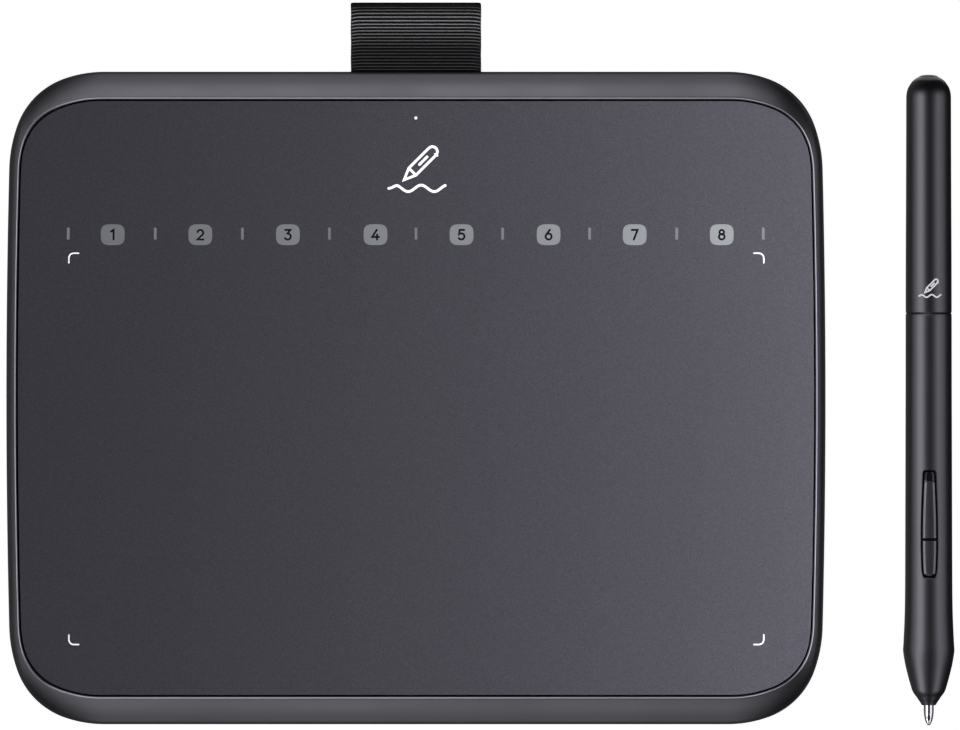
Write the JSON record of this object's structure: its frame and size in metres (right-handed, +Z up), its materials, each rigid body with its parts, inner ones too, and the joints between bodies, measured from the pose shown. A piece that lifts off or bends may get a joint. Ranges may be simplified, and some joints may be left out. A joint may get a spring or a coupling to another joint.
{
  "type": "pen drawing tablet",
  "caption": "Flat pen drawing tablet with rounded corners, a framed matte drawing surface, a webbing pen loop on its rear edge, and a separate cordless pen with a side switch.",
  "frame": {"origin": "on the table plane, in the middle of the box round the tablet and the pen lying on its right", "axes": "+X to the right along the tablet's long side, towards the pen; +Y to the rear, towards the pen loop; +Z up out of the drawing surface"},
  "size_m": [0.2182, 0.1662, 0.0118],
  "materials": {
    "frame_plastic": "satin, fine metallic grain",
    "sheet_film": "matte, fine tooth",
    "panel_plastic": "matte",
    "adhesive": "matte",
    "circuit_board": "solder resist over copper",
    "shield_steel": "brushed",
    "chip_plastic": "moulded, matte",
    "ceramic": "fired ceramic with tinned ends",
    "can_steel": "satin",
    "led_white": "glossy",
    "clear_plastic": "frosted",
    "foam": "open-cell foam",
    "cover_plastic": "fine moulded texture",
    "foot_rubber": "matte",
    "screw_steel": "black oxide",
    "port_steel": "satin nickel",
    "port_plastic": "moulded with gold contacts",
    "flex_film": "polyimide over copper",
    "connector_plastic": "moulded",
    "webbing": "ribbed elastic webbing",
    "pen_plastic": "soft satin",
    "nose_plastic": "satin",
    "nib_plastic": "polished acetal",
    "switch_plastic": "satin, bevelled edges",
    "ferrite": "sintered",
    "copper_wire": "enamelled turns",
    "silicone": "translucent",
    "holder_plastic": "moulded"
  },
  "bodies": {
    "tablet": {"top_frame": "frame_plastic", "drawing_sheet": "sheet_film", "support_panel": "panel_plastic", "panel_tape": "adhesive", "digitizer_board": "circuit_board", "shield_plate": "shield_steel", "switch_chips": "chip_plastic", "status_led": "led_white", "light_pipe": "clear_plastic", "foam_pads": "foam", "bottom_cover": "cover_plastic", "rubber_feet": "foot_rubber", "controller_board": "circuit_board", "main_chip": "chip_plastic", "crystal": "can_steel", "capacitors": "ceramic", "flex_connectors": "connector_plastic", "flex_socket": "connector_plastic", "flex_cable": "flex_film", "usb_c_shell": "port_steel", "usb_c_tongue": "port_plastic", "cover_screws": "screw_steel", "board_screws": "screw_steel", "loop_tail": "webbing", "loop_clamp_bar": "shield_steel", "clamp_screws": "screw_steel"},
    "pen_loop": {"pen_loop_strap": "webbing"},
    "pen": {"pen_nose_cone": "nose_plastic", "pen_lower_barrel": "pen_plastic", "pen_upper_barrel": "pen_plastic", "ferrite_core": "ferrite", "antenna_coil": "copper_wire", "return_pad": "silicone", "pressure_sensor": "can_steel", "pen_chassis": "holder_plastic", "pen_circuit_board": "circuit_board", "tact_switches": "can_steel", "rocker_pin": "screw_steel"},
    "nib_carrier": {"nib_holder": "holder_plastic"},
    "nib": {"pen_nib": "nib_plastic"},
    "rocker": {"side_rocker": "switch_plastic"}
  },
  "joints": [
    {"name": "loop_flex", "type": "hinge", "parent": "tablet", "child": "pen_loop", "pos_m": [-0.01483, 0.06852, 0.0042], "axis": [1, 0, 0], "range_deg": [0, 70], "stiffness_Nm_per_rad": 0.004},
    {"name": "pen_lift", "type": "slide", "parent": "tablet", "child": "pen", "axis": [0, 0, 1], "range_m": [0, 0.06]},
    {"name": "nib_press", "type": "slide", "parent": "pen", "child": "nib_carrier", "axis": [0, 1, -0.0061], "range_m": [0, 0.0005], "stiffness_N_per_m": 1500},
    {"name": "nib_pull", "type": "slide", "parent": "nib_carrier", "child": "nib", "axis": [0, -1, 0.0061], "range_m": [0, 0.02]},
    {"name": "side_switch", "type": "hinge", "parent": "pen", "child": "rocker", "pos_m": [0.10314, -0.04029, 0.01007], "axis": [1, 0, 0], "range_deg": [-1.8, 1.8], "stiffness_Nm_per_rad": 0.2}
  ]
}
